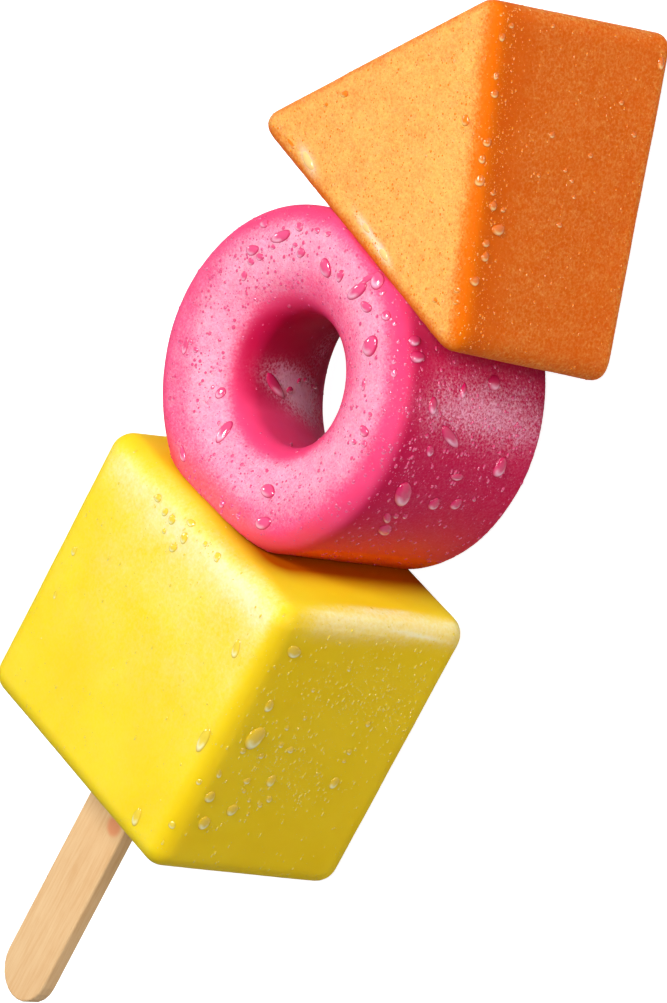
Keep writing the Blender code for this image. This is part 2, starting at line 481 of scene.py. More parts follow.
def make_bead_tree() -> bpy.types.NodeTree:
    """Build the Geometry Nodes tree that scatters water beads over a skin."""
    amounts = ("Density", "Spacing", "Smallest", "Largest", "Rarity", "Stretch")
    pad, given, result = new_group(
        "water_beads",
        "GeometryNodeTree",
        {
            "Geometry": GEOMETRY,
            "Bead": "NodeSocketObject",
            **dict.fromkeys(amounts, FLOAT),
            "Seed": "NodeSocketInt",
            "Material": MATERIAL,
        },
        {"Geometry": GEOMETRY},
    )
    wanted = pad.add("GeometryNodeInputNamedAttribute", {"Name": "beads"}, data_type="FLOAT")
    points = pad.add(
        "GeometryNodeDistributePointsOnFaces",
        {
            "Mesh": given["Geometry"],
            "Distance Min": given["Spacing"],
            "Density Max": given["Density"],
            "Density Factor": wanted.outputs["Attribute"],
            "Seed": given["Seed"],
        },
        distribute_method="POISSON",
    ).outputs
    upright = pad.add(
        "FunctionNodeAlignRotationToVector", {"Vector": points["Normal"]}, axis="Z"
    ).outputs[0]
    along = pad.add(
        "FunctionNodeAlignRotationToVector",
        {"Rotation": upright, "Vector": (0.0, 1.0, 0.0)},
        axis="Y",
        pivot_axis="Z",
    ).outputs[0]

    def draw(seed: Socket) -> Socket:
        """Return a number from 0 to 1 for each point."""
        return pad.add("FunctionNodeRandomValue", {"Seed": seed}, data_type="FLOAT").outputs[1]

    rare = pad.math("POWER", draw(given["Seed"]), given["Rarity"])
    span = pad.math("SUBTRACT", given["Largest"], given["Smallest"])
    size = pad.math("MULTIPLY_ADD", rare, span, given["Smallest"])
    other_seed = pad.math("ADD", given["Seed"], 11)
    longer = pad.math("MULTIPLY_ADD", draw(other_seed), given["Stretch"], 1.0)
    sockets = {"X": size, "Y": pad.math("MULTIPLY", size, longer), "Z": size}
    scale = pad.add("ShaderNodeCombineXYZ", sockets).outputs[0]
    bead = pad.add("GeometryNodeObjectInfo", {"Object": given["Bead"]})
    placed = pad.add(
        "GeometryNodeInstanceOnPoints",
        {
            "Points": points["Points"],
            "Instance": bead.outputs["Geometry"],
            "Rotation": along,
            "Scale": scale,
        },
    ).outputs[0]
    return finish_tree(pad, placed, given, result)


@dataclass(frozen=True)
class ShapeTrees:
    """The Geometry Nodes trees that the pieces share."""

    skin: bpy.types.NodeTree
    beads: bpy.types.NodeTree

    @classmethod
    def build(cls) -> "ShapeTrees":
        """Build each tree once."""
        return cls(make_skin_tree(), make_bead_tree())


def link_object(name: str, mesh: bpy.types.Mesh) -> bpy.types.Object:
    """Put a mesh in the scene under a name."""
    item = bpy.data.objects.new(name, mesh)
    bpy.context.scene.collection.objects.link(item)
    return item


def discard(item: bpy.types.Object) -> None:
    """Remove a helper object and its mesh."""
    mesh = item.data
    bpy.data.objects.remove(item, do_unlink=True)
    bpy.data.meshes.remove(mesh)


def run_tree(item: bpy.types.Object, tree: bpy.types.NodeTree, values: dict) -> None:
    """Add a Geometry Nodes modifier and set its inputs by their identifiers."""
    modifier = item.modifiers.new(tree.name, "NODES")
    modifier.node_group = tree
    for socket in tree.interface.items_tree:
        if socket.in_out == "INPUT" and socket.name in values:
            modifier[socket.identifier] = values[socket.name]


def freeze(item: bpy.types.Object, name: str) -> bpy.types.Object:
    """Turn an object with its modifiers into a plain object and drop the first one."""
    graph = bpy.context.evaluated_depsgraph_get()
    mesh = bpy.data.meshes.new_from_object(item.evaluated_get(graph))
    mesh.name = name
    discard(item)
    return link_object(name, mesh)


def read_vectors(rows: bpy.types.bpy_prop_collection, name: str) -> np.ndarray:
    """Return a vector of each vertex as an array with three columns."""
    values = np.empty(len(rows) * 3)
    rows.foreach_get(name, values)
    return values.reshape(-1, 3)


def loft(lower: list[Vector], upper: list[Vector]) -> bmesh.types.BMesh:
    """Return a closed shape between two matching rows of points."""
    shape = bmesh.new()
    below = [shape.verts.new(point) for point in lower]
    above = [shape.verts.new(point) for point in upper]
    count = len(below)
    for i in range(count):
        j = (i + 1) % count
        shape.faces.new((below[i], below[j], above[j], above[i]))
    shape.faces.new(list(reversed(below)))
    shape.faces.new(above)
    shape.normal_update()
    return shape


def round_edges(shape: bmesh.types.BMesh, edges: list, setback: float) -> None:
    """Round edges of a convex shape, starting the curve at a setback from each."""
    bmesh.ops.bevel(
        shape,
        geom=list(edges),
        offset=setback,
        offset_type="OFFSET",
        segments=ROUNDING_STEPS,
        profile=0.5,
        affect="EDGES",
        clamp_overlap=True,
    )


def to_object(name: str, shape: bmesh.types.BMesh, move: Matrix) -> bpy.types.Object:
    """Turn a shape into an object, moved to its place in its mesh."""
    bmesh.ops.transform(shape, matrix=move, verts=shape.verts)
    bmesh.ops.recalc_face_normals(shape, faces=shape.faces)
    mesh = bpy.data.meshes.new(name)
    shape.to_mesh(mesh)
    shape.free()
    return link_object(name, mesh)


@dataclass(frozen=True)
class PhotoView:
    """The view of the lolly's front: a long lens, above and to the right of it."""

    origin: Vector
    across: Vector = Vector((0.5202241, 0.4368193, -0.7338636))
    up: Vector = Vector((-0.5559531, 0.8255038, 0.0972604))
    back: Vector = Vector((0.6482924, 0.3573966, 0.6722980))
    place: Vector = Vector((0.5512798, 0.3534107, 0.5848872))
    width: int = 667
    height: int = 1003
    focal: float = 6000.0
    sensor: float = 36.0

    def camera(self) -> None:
        """Make the camera and make it the scene's own."""
        data = bpy.data.cameras.new("view")
        data.sensor_fit = "VERTICAL"
        data.sensor_height = self.sensor
        data.lens = self.sensor * self.focal / self.height
        data.clip_end = 20.0
        camera = bpy.data.objects.new("view", data)
        rows = Matrix((self.across, self.up, self.back)).transposed().to_4x4()
        camera.matrix_world = Matrix.Translation(self.place + self.origin) @ rows
        bpy.context.scene.collection.objects.link(camera)
        bpy.context.scene.camera = camera

    def ray(self, x: float, y: float) -> tuple[Vector, Vector]:
        """Return where the line of sight through a point of the picture starts and goes."""
        line = (
            self.across * (x - self.width / 2)
            + self.up * (self.height / 2 - y)
            - self.back * self.focal
        )
        return self.place + self.origin, line.normalized()

    def on_plane(self, x: float, y: float, point: Vector, normal: Vector) -> Vector:
        """Return where the line of sight through x, y meets a plane."""
        start, line = self.ray(x, y)
        return start + line * ((point - start).dot(normal) / line.dot(normal))


@dataclass(frozen=True)
class Spot:
    """An oval place on the skin: its middle and its size in the picture."""

    x: float
    y: float
    length: float
    width: float
    lean: float = 90.0
    strength: float = 1.0


def spots(*rows: tuple) -> tuple[Spot, ...]:
    """Return a spot for each row of its fields."""
    return tuple(Spot(*row) for row in rows)


class Skin:
    """The finished surface of one piece, as arrays and as a tree to look rays up in."""

    SAME_SIDE = (0.1, 0.6)

    def __init__(self, item: bpy.types.Object) -> None:
        """Read the object's mesh."""
        mesh = item.data
        self.item = item
        self.points = read_vectors(mesh.vertices, "co")
        self.normals = read_vectors(mesh.vertex_normals, "vector")
        self.tree = BVHTree.FromPolygons(
            [Vector(point) for point in self.points],
            [tuple(face.vertices) for face in mesh.polygons],
        )
        self.values: dict[str, np.ndarray] = {}

    def store(self, name: str, values: np.ndarray) -> None:
        """Keep a value for each vertex as a named attribute."""
        self.values[name] = values
        attribute = self.item.data.attributes.new(name, "FLOAT", "POINT")
        attribute.data.foreach_set("value", np.clip(values, 0.0, 1.0).astype(np.float32))

    def value_at(self, name: str, point: Vector) -> float:
        """Return a kept value at the vertex nearest to a point."""
        nearest = np.argmin(((self.points - np.array(point)) ** 2).sum(axis=1))
        return float(self.values[name][nearest])

    def spot_axes(self, view: PhotoView, spot: Spot) -> tuple | None:
        """Find an oval spot on the skin.

        Args:
            view: the view that the spot's place is given in.
            spot: the oval.

        Returns:
            Its middle, the skin's normal there and the two half axes, or None.
        """
        start, line = view.ray(spot.x, spot.y)
        point, normal, _, _ = self.tree.ray_cast(start, line)
        if point is None:
            return None
        lean = math.radians(spot.lean)
        ends = []
        for half, angle in ((spot.length / 2, lean), (spot.width / 2, lean - math.pi / 2)):
            end = view.on_plane(
                spot.x + half * math.cos(angle),
                spot.y - half * math.sin(angle),
                point,
                normal,
            )
            ends.append(end - point)
        return point, normal, *ends

    def near_spot(self, view: PhotoView, spot: Spot) -> np.ndarray:
        """Return for each vertex how much it belongs to a soft oval spot."""
        found = self.spot_axes(view, spot)
        if found is None:
            log.warning("no skin at %s", spot)
            return np.zeros(len(self.points))
        point, normal, long, short = (np.array(part) for part in found)
        across = np.cross(normal, long)
        across /= np.linalg.norm(across)
        rise = self.points - point
        a = rise @ long / (long @ long)
        b = rise @ across / np.linalg.norm(short)
        depth = rise @ normal / max(np.linalg.norm(short), np.linalg.norm(long))
        facing = smooth(self.normals @ normal, *self.SAME_SIDE)
        return spot.strength * facing * np.exp(-(a * a + b * b + depth * depth))


class DropMesh:
    """Collects the domes of many drops into one mesh.

    Each drop is an oval dome with a slightly wavy, tapered outline. Its rim and its side
    towards +Y carry painted shade, more on shaded parts of the skin, and a painted glow
    lies in a crescent on its side towards -Y.
    """

    RINGS = 7
    SIDES = 22
    SUNK = 0.04 * MM
    MOST_STRETCH = 3.0
    WAVES = ((2, 0.05), (3, 0.04))
    TAPER = 0.12
    SHADE_BASE, SHADE_GAIN = 0.15, 0.55
    MOST_GLEAM = 0.9
    CRESCENT = (0.62, 0.22)
    RIM = (0.78, 0.98)
    LIT_SIDE = 0.6

    def __init__(
        self, view: PhotoView, skin: Skin, steepness: float, gleam: float, seed: int
    ) -> None:
        """Start without drops on a skin."""
        self.view = view
        self.skin = skin
        self.steepness = steepness
        self.gleam = gleam
        self.random = random.Random(seed)
        self.verts: list[Vector] = []
        self.faces: list[tuple[int, ...]] = []
        self.floors: list[int] = []
        self.rim: list[float] = []
        self.painted_glow: list[float] = []

    def add(self, spot: Spot) -> None:
        """Add a drop.

        Args:
            spot: the oval that it fills, whose strength scales the drop's height.
        """
        found = self.skin.spot_axes(self.view, spot)
        if found is None:
            log.warning("no skin under the drop at %s", spot)
            return
        point, normal, long, short = found
        limit = self.MOST_STRETCH * spot.length / self.view.focal * self.view.place.length
        for axis in (long, short):
            if axis.length > limit:
                axis *= limit / axis.length
        height = self.steepness * spot.strength * min(long.length, short.length)
        lower = Vector((0.0, -1.0, 0.0))
        lower = (lower - normal * lower.dot(normal)).normalized()
        phase = [self.random.uniform(0, math.tau) for _ in self.WAVES]
        taper = self.random.uniform(0.0, self.TAPER)
        # Painted shade: drops darken on shaded parts of the skin.
        shade = self.SHADE_BASE + self.SHADE_GAIN * self.skin.value_at("shade", point)
        # Painted glints: drops pale where the skin carries painted light.
        gleam = min(self.gleam * self.skin.value_at("painted_light_and_shade", point), self.MOST_GLEAM)
        base = len(self.verts)
        self.put(point + normal * height, shade, gleam)
        for ring in range(1, self.RINGS + 1):
            reach = math.sin(math.pi / 2 * ring / self.RINGS)
            at_rim = float(smooth(np.array(reach), *self.RIM))
            crescent = float(bell(np.array(reach), *self.CRESCENT))
            for side in range(self.SIDES):
                angle = math.tau * side / self.SIDES
                wave = 1.0
                for (count, size), shift in zip(self.WAVES, phase):
                    wave += size * math.sin(count * angle + shift)
                narrow = 1 - taper * math.cos(angle)
                offset = long * math.cos(angle) + short * (math.sin(angle) * narrow)
                offset *= reach * wave
                foot, lean, _, _ = self.skin.tree.find_nearest(point + offset)
                up = (normal + lean).normalized()
                rise = height * math.sqrt(max(0.0, 1 - reach**2)) - self.SUNK * reach**4
                way = offset.normalized().dot(lower)
                # Painted shade: a dark outline, darker on the side towards +Y.
                rim = max(at_rim, shade * (1 - self.LIT_SIDE * way * reach))
                # Painted glow in a crescent on the side towards -Y.
                self.put(foot + up * rise, min(rim, 1.0), max(max(0.0, way) * crescent, gleam))
        for side in range(self.SIDES):
            after = (side + 1) % self.SIDES
            self.faces.append((base, base + 1 + side, base + 1 + after))
            for row in range(self.RINGS - 1):
                inner = base + 1 + row * self.SIDES
                outer = inner + self.SIDES
                self.faces.append((inner + side, outer + side, outer + after, inner + after))
        self.floors.append(len(self.faces))
        end = len(self.verts) - 1
        self.faces.append(tuple(range(end, end - self.SIDES, -1)))

    def put(self, top: Vector, rim: float, painted_glow_share: float) -> None:
        """Add one vertex with its share of the rim's painted shade and of the painted glow."""
        self.verts.append(top)
        self.rim.append(rim)
        self.painted_glow.append(painted_glow_share)

    def finish(self, name: str, material: bpy.types.Material) -> bpy.types.Object:
        """Turn the drops into one object."""
        mesh = bpy.data.meshes.new(name)
        mesh.from_pydata(self.verts, [], self.faces)
        mesh.shade_smooth()
        for floor in self.floors:
            mesh.polygons[floor].use_smooth = False
        for label, values in (("rim", self.rim), ("painted_glow", self.painted_glow)):
            attribute = mesh.attributes.new(label, "FLOAT", "POINT")
            attribute.data.foreach_set("value", values)
        mesh.materials.append(material)
        return link_object(name, mesh)


def make_bead(rim_share: float, rim_depth: float) -> bpy.types.Object:
    """Make the small dome that the beads copy: 1 across, flat side down, painted glow at its -Y
    end.

    Args:
        rim_share: how much of the rim's painted shade the middle has.
        rim_depth: how much of it the outermost row has.

    Returns:
        The dome.
    """
    shape = bmesh.new()
    sides, rings, lit_row = 8, 3, 2
    height, sunk = 0.17, 0.06
    rim = shape.verts.layers.float.new("rim")
    painted_glow = shape.verts.layers.float.new("painted_glow")
    top = shape.verts.new((0.0, 0.0, height))
    top[rim] = rim_share
    last = None
    for row in range(1, rings + 1):
        turn = math.pi / 2 * row / rings
        reach = math.sin(turn)
        level = height * math.cos(turn) - (sunk if row == rings else 0.0)
        outward = float(smooth(np.array(reach), 0.6, 1.0))
        loop = []
        for side in range(sides):
            angle = math.tau * side / sides
            spot = (0.5 * reach * math.cos(angle), 0.5 * reach * math.sin(angle), level)
            vert = shape.verts.new(spot)
            vert[rim] = rim_share + (rim_depth - rim_share) * outward
            # Painted glow on the -Y side of one row.
            vert[painted_glow] = max(0.0, -math.sin(angle)) if row == lit_row else 0.0
            loop.append(vert)
        for side in range(sides):
            after = (side + 1) % sides
            if last is None:
                face = shape.faces.new((top, loop[side], loop[after]))
            else:
                face = shape.faces.new((last[side], loop[side], loop[after], last[after]))
            face.smooth = True
        last = loop
    shape.faces.new(list(reversed(last)))
    mesh = bpy.data.meshes.new("bead")
    shape.to_mesh(mesh)
    shape.free()
    return link_object("bead", mesh)


@dataclass(frozen=True)
class BeadRule:
    """How thickly and how large beads stand on one piece, and how steep its water is."""

    density: float
    spacing: float
    smallest: float
    largest: float
    rarity: float = 3.0
    stretch: float = 0.5
    # How much painted shade the beads' middles and outer rows take.
    rim_share: float = 0.2
    rim_depth: float = 0.6
    steepness: float = 0.42
    seed: int = 1


@dataclass
class Workshop:
    """What every piece is made with."""

    view: PhotoView
    groups: ShaderGroups
    trees: ShapeTrees

    @property
    def origin(self) -> Vector:
        """The block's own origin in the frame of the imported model."""
        return self.view.origin


class Facing(Enum):
    """Sides of a piece that a rule can ask for."""

    FRONT = (0.0, 0.0, 1.0)
    RIGHT = (1.0, 0.0, 0.0)
    HEAD = (0.0, 1.0, 0.0)

    def share(self, normals: np.ndarray, low: float = 0.6, high: float = 0.95) -> np.ndarray:
        """Return how squarely each normal faces this way."""
        return smooth(normals @ np.array(self.value), low, high)


@dataclass
class IcePiece:
    """One frozen shape with its skin, its large drops and its beads."""

    name: str
    node: str
    finish: IceFinish
    water: WaterFinish
    beads: BeadRule
    drops: tuple[Spot, ...]
    frost_and_sheen_spots: tuple[Spot, ...] = ()
    # Spots of painted light: bounce light and glints.
    painted_light_spots: tuple[Spot, ...] = ()
    bead_spots: tuple[Spot, ...] = ()
    voxel: float = 0.42 * MM
    swell: float = 0.22 * MM
    swell_size: float = 14.0 * MM
    pit: float = 0.05 * MM
    pit_size: float = 1.6 * MM
    # How much the skin's painted glints pale the drops on it.
    drop_gleam: float = 0.0
    bead_level: Pair = (1.0 * MM, 2.0 * MM)
    seed: int = 1

    def shape(self, origin: Vector) -> bpy.types.Object:
        """Build the smooth shape in its place."""
        raise NotImplementedError

    def zones(self, skin: Skin, origin: Vector) -> dict[str, np.ndarray]:
        """Return each vertex's values for the materials and the beads, by name."""
        raise NotImplementedError

    def make_skin(self, shop: Workshop) -> Skin:
        """Turn the shape into an even fine mesh with melted swells."""
        item = self.shape(shop.origin)
        remesh = item.modifiers.new("even", "REMESH")
        remesh.mode = "VOXEL"
        remesh.voxel_size = self.voxel
        remesh.use_smooth_shade = True
        values = {
            "Swell": self.swell,
            "Swell Size": self.swell_size,
            "Pit": self.pit,
            "Pit Size": self.pit_size,
            "Seed": float(self.seed),
            "Material": self.finish.material(shop.groups),
        }
        run_tree(item, shop.trees.skin, values)
        plain = freeze(item, self.name)
        low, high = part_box(self.node)
        points = read_vectors(plain.data.vertices, "co")
        points = np.clip(points, np.array(low), np.array(high))
        plain.data.vertices.foreach_set("co", points.ravel())
        plain.data.update()
        return Skin(plain)

    def make_beads(self, shop: Workshop, skin: Skin) -> bpy.types.Object:
        """Scatter the beads over the skin."""
        rule = self.beads
        item = link_object(f"{self.name}_beads", skin.item.data.copy())
        bead = make_bead(rule.rim_share, rule.rim_depth)
        values = {
            "Bead": bead,
            "Density": rule.density,
            "Spacing": rule.spacing,
            "Smallest": rule.smallest,
            "Largest": rule.largest,
            "Rarity": rule.rarity,
            "Stretch": rule.stretch,
            "Seed": rule.seed,
            "Material": bpy.data.materials[self.water.name],
        }
        run_tree(item, shop.trees.beads, values)
        beads = freeze(item, f"{self.name}_beads")
        discard(bead)
        return beads

    def build(self, shop: Workshop) -> None:
        """Make the piece, its drops and its beads, and hand them to the frame."""
        skin = self.make_skin(shop)
        zones = self.zones(skin, shop.origin)
        extras = {
            "frost_and_sheen": self.frost_and_sheen_spots,
            "painted_light_and_shade": self.painted_light_spots,
            "beads": self.bead_spots,
        }
        for label, places in extras.items():
            for spot in places:
                zones[label] = zones[label] + skin.near_spot(shop.view, spot)
        zones["beads"] = zones["beads"] * smooth(skin.points[:, 2], *self.bead_level)
        for label, values in zones.items():
            skin.store(label, values)
        water = self.water.material(shop.groups)
        made = DropMesh(shop.view, skin, self.beads.steepness, self.drop_gleam, self.seed)
        for spot in self.drops:
            made.add(spot)
        drops = made.finish(f"{self.name}_drops", water)
        beads = self.make_beads(shop, skin)
        for item in (skin.item, drops, beads):
            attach(item, BODY)
            log.info("%s has %d faces", item.name, len(item.data.polygons))
        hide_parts(self.node)

    @property
    def slot(self) -> str:
        """The record's material slot of the node."""
        subparts = frame["record"]["subparts"]
        return next(part["material_slot"] for part in subparts if part["node"] == self.node)


def plane_depths(points: np.ndarray, planes: list[Plane]) -> np.ndarray:
    """Return how far each point lies inside each plane, given as point and outward normal."""
    depths = [(np.array(spot) - points) @ np.array(normal) for spot, normal in planes]
    return np.stack(depths, axis=1)


def plane_through(a: Vector, b: Vector, c: Vector, inside: Vector) -> Plane:
    """Return the plane through three points with its normal away from a point inside."""
    normal = (b - a).cross(c - a).normalized()
    if (inside - a).dot(normal) > 0:
        normal = -normal
    return a, normal


def loft_planes(low: list[Vector], top: list[Vector], origin: Vector) -> list[Plane]:
    """Return a loft's planes: those round it, then its back and its front."""
    count = len(low)
    low, top = ([corner + origin for corner in row] for row in (low, top))
    middle = sum(low + top, Vector()) / (2 * count)
    sides = [plane_through(low[i], low[(i + 1) % count], top[i], middle) for i in range(count)]
    return sides + [plane_through(*low[:3], middle), plane_through(*top[:3], middle)]


def edge_nearness(depths: np.ndarray, near: float, far: float) -> np.ndarray:
    """Return 1 where two planes meet and 0 further than far from every edge."""
    second = np.sort(depths, axis=1)[:, 1]
    return 1 - smooth(second, near, far)


@dataclass
class Block(IcePiece):
    """The rounded block at the lolly's foot."""

    width: float = 0.0476
    length: float = 0.04455
    depth: float = 0.0359
    foot_flare: float = 0.0238
    head_flare: float = 0.0173
    rounding: float = 0.0033
    ring_centre: Pair = (-0.00426, 0.06566)
    ring_radius: float = 0.0245
    ring_front: float = 0.0318
    front_fade: Pair = (0.1 * MM, 1.6 * MM)
    # upper_band places a painted highlight along the front's upper edge.
    upper_band: Pair = (4.4 * MM, 3.0 * MM)
    away_fade: Pair = (36.0 * MM, 4.0 * MM)
    left_fade: Pair = (1.0 * MM, 16.0 * MM)
    edge_fade: Pair = (0.6 * MM, 3.4 * MM)
    # The crest and brow fades place painted cream highlights on the top right and head rounding.
    crest_fade: Pair = (5.4 * MM, 0.6 * MM)
    crest_start: Pair = (1.0 * MM, 9.0 * MM)
    brow_widths: Pair = (3.4 * MM, 2.2 * MM)
    brow_left: Pair = (4.0 * MM, 22.0 * MM)
    side_painted_shade: float = 0.14
    # The ring's painted shadow on the head: its reach, strength and fades.
    contact_gap: float = 5.0 * MM
    contact_gain: float = 1.5
    contact_left: Pair = (-5.0 * MM, 6.5 * MM)
    contact_right: Pair = (18.0 * MM, 10.0 * MM)
    contact_start: Pair = (2.0 * MM, 9.0 * MM)

    def corners(self, z: float) -> list[Vector]:
        """Return the outline's corners at a depth, before rounding."""
        half = self.width / 2
        foot = -self.foot_flare * (self.depth - z)
        head = self.length + self.head_flare * (self.depth - z)
        return [
            Vector((-half, foot, z)),
            Vector((half, foot, z)),
            Vector((half, head, z)),
            Vector((-half, head, z)),
        ]

    def shape(self, origin: Vector) -> bpy.types.Object:
        """Build the rounded block."""
        shape = loft(self.corners(0.0), self.corners(self.depth))
        round_edges(shape, shape.edges, self.rounding)
        return to_object(self.name, shape, Matrix.Translation(origin))

    def planes(self, origin: Vector) -> list[Plane]:
        """Return the block's six sides: foot, right, head, left, back and front."""
        return loft_planes(self.corners(0.0), self.corners(self.depth), origin)

    def painted_shadow(self, skin: Skin, origin: Vector, front: np.ndarray) -> np.ndarray:
        """Return how much of the ring's painted warm shadow lies on each vertex of the head."""
        own = skin.points - np.array(origin)
        aside = np.hypot(own[:, 0] - self.ring_centre[0], own[:, 1] - self.ring_centre[1])
        aside = np.maximum(aside - self.ring_radius, 0.0)
        gap = np.hypot(aside, np.maximum(own[:, 2] - self.ring_front, 0.0))
        painted_shadow = Facing.HEAD.share(skin.normals, 0.3, 0.9) * bell(gap, 0.0, self.contact_gap)
        painted_shadow *= smooth(own[:, 0], *self.contact_left, least=0.15)
        painted_shadow *= self.contact_gain * smooth(own[:, 0], *self.contact_right)
        return painted_shadow * smooth(front, *self.contact_start, least=0.2)

    def zones(self, skin: Skin, origin: Vector) -> dict[str, np.ndarray]:
        """Frost the front, most on its upper edge as a painted highlight, and bead the right
        side.
        """
        depths = plane_depths(skin.points, self.planes(origin))
        head, left, front = depths[:, 2], depths[:, 3], depths[:, 5]
        sideways = skin.normals[:, 0]
        on_front = 1 - smooth(front, *self.front_fade)
        upper = bell(head, *self.upper_band)
        away = smooth(head, *self.away_fade) * smooth(left, *self.left_fade)
        right = Facing.RIGHT.share(skin.normals)
        edge = edge_nearness(depths, *self.edge_fade)
        # Painted highlight along the top right crest.
        crest = smooth(head, *self.crest_fade) * smooth(sideways, 0.1, 0.6)
        crest *= smooth(front, *self.crest_start)
        # A frosty cover, with a painted highlight band along the upper edge.
        frost_and_sheen = on_front * (0.08 + 0.14 * away + 0.17 * upper) * (1 - 0.9 * edge)
        # Painted highlight on the rounding between the front and the head.
        painted_brow_highlight = bell(head, 0.0, self.brow_widths[0]) * bell(front, 0.0, self.brow_widths[1])
        painted_brow_highlight *= smooth(left, *self.brow_left) * smooth(sideways, 0.5, 0.1)
        frost_and_sheen += 0.24 * painted_brow_highlight + 0.46 * crest + 0.02 * (1 - on_front)
        # Painted shade: the right side darker.
        side = self.side_painted_shade * smooth(sideways, 0.5, 0.98)
        return {
            "edge": 0.8 * edge,
            "frost_and_sheen": frost_and_sheen,
            "grit": np.full(len(edge), 0.4),
            "painted_light_and_shade": side + self.painted_shadow(skin, origin, front),
            "beads": (0.04 * on_front + 0.10 * right + 0.01) * (1 - 0.5 * edge),
            # How shaded the right side is, for the drops' painted shade.
            "shade": right,
        }


@dataclass
class Ring(IcePiece):
    """The thick ring on the block, cut flat where the block and the wedge meet it."""

    centre: Vector = Vector((-0.00426, 0.06566, 0.01694))
    radius: float = 0.02450
    depth: float = 0.0297
    throat_radius: float = 0.00946
    throat_height: float = 0.0086
    front_rounding: float = 0.0037
    back_rounding: float = 0.0008
    turn_x: float = math.radians(-1.4)
    turn_y: float = math.radians(2.5)
    seat: Block | None = None
    top: "Wedge | None" = None
    overlap: float = 0.0002
    arc_steps: int = 24
    turn_steps: int = 240
    front_start: Pair = (0.25, 0.4)
    wall_start: Pair = (0.95, 0.99)
    inner_rim: Pair = (0.0104, 0.0128)
    outer_rim: Pair = (0.0205, 0.0236)
    # An off-centre band of painted sheen in the frosty cover.
    sheen_at: Pair = (0.0012, 0.0028)
    sheen_inner: Pair = (0.0105, 0.0150)
    sheen_outer: Pair = (0.0178, 0.0222)
    # Where painted shade lies: in the hole, in the lee, on the side wall, less on the hole's
    # lower side.
    hole_rim: Pair = (0.0106, 0.0148)
    hole_level: Pair = (0.0140, 0.0095)
    lee_level: Pair = (0.0136, 0.0112)
    wall_level: Pair = (0.0118, 0.0096)
    low_side: Pair = (-0.0020, -0.0075)
    # Reach of the block's painted warm bounce and painted reflection on the ring's low part.
    warm_reach: Pair = (5.2 * MM, 1.0 * MM)
    mirror_reach: Pair = (5.6 * MM, 3.6 * MM)

    def place(self, origin: Vector) -> Matrix:
        """Return where the ring's own frame is."""
        return (
            Matrix.Translation(self.centre + origin)
            @ Matrix.Rotation(self.turn_x, 4, "X")
            @ Matrix.Rotation(self.turn_y, 4, "Y")
        )

    def profile(self) -> list[tuple[float, float]]:
        """Return the closed section as radius and height."""
        top = self.depth / 2
        level = self.throat_height
        throat = self.throat_radius
        crest = self.radius - self.front_rounding
        heel = self.radius - self.back_rounding
        front, back = self.front_rounding, self.back_rounding
        arcs = (
            ((crest, top - front), (front, front), 0),
            ((crest, level), (crest - throat, top - level), 90),
            ((heel, level), (heel - throat, top + level), 180),
            ((heel, back - top), (back, back), 270),
        )
        points = []
        for middle, radii, start in arcs:
            for step in range(0 if not points else 1, self.arc_steps + 1):
                angle = math.radians(start + 90 * step / self.arc_steps)
                radius = middle[0] + radii[0] * math.cos(angle)
                points.append((radius, middle[1] + radii[1] * math.sin(angle)))
        return points

    def shape(self, origin: Vector) -> bpy.types.Object:
        """Turn the section round and cut the two seats."""
        shape = bmesh.new()
        verts = [shape.verts.new((radius, 0.0, height)) for radius, height in self.profile()]
        count = len(verts)
        edges = [shape.edges.new((verts[i], verts[(i + 1) % count])) for i in range(count)]
        bmesh.ops.spin(
            shape,
            geom=verts + edges,
            cent=(0.0, 0.0, 0.0),
            axis=(0.0, 0.0, 1.0),
            angle=math.tau,
            steps=self.turn_steps,
            use_merge=True,
        )
        ring = to_object(self.name, shape, self.place(origin))
        tools = [self.seat_tool(origin), self.top.ring_tool(origin, self.overlap)]
        for tool in tools:
            cut = ring.modifiers.new(tool.name, "BOOLEAN")
            cut.operation = "DIFFERENCE"
            cut.object = tool
        cut_ring = freeze(ring, self.name)
        for tool in tools:
            discard(tool)
        return cut_ring

    def seat_tool(self, origin: Vector) -> bpy.types.Object:
        """Make the slab that ends just inside the block's head."""
        lower = self.seat.corners(-self.seat.depth)
        upper = self.seat.corners(2 * self.seat.depth)
        for corner in lower[2:] + upper[2:]:
            corner.y -= self.overlap
        return to_object("seat_tool", loft(lower, upper), Matrix.Translation(origin))

    def zones(self, skin: Skin, origin: Vector) -> dict[str, np.ndarray]:
        """Frost a band of painted sheen round the dished front, paint shade, bead it and the side
        wall.
        """
        back = np.array(self.place(origin).inverted())
        own = skin.points @ back[:3, :3].T + back[:3, 3]
        level = own[:, 2]
        radius = np.hypot(own[:, 0], own[:, 1])
        front = smooth(level, *(share * self.depth for share in self.front_start))
        plain = smooth(radius, *self.inner_rim) * (1 - smooth(radius, *self.outer_rim)) * front
        # Painted sheen: a band shifted towards +Y, where the light's reflection falls.
        sheen = np.hypot(own[:, 0] - self.sheen_at[0], own[:, 1] - self.sheen_at[1])
        band = smooth(sheen, *self.sheen_inner) * (1 - smooth(sheen, *self.sheen_outer))
        outer = smooth(radius, *(share * self.radius for share in self.wall_start)) * (1 - front)
        hole = (1 - smooth(radius, *self.hole_rim)) * smooth(level, *self.hole_level)
        # Painted shade on faces turned towards +X.
        painted_lee_shade = smooth(skin.normals[:, 0], 0.35, 0.85) * smooth(level, *self.lee_level)
        wall = outer * smooth(level, *self.wall_level)
        low_side = smooth(own[:, 1], *self.low_side)
        low, high = self.seat.corners(0.0)[2], self.seat.corners(self.seat.depth)[2]
        rise = (high.y - low.y) / self.seat.depth
        above = skin.points[:, 1] - origin.y - low.y - rise * skin.points[:, 2]
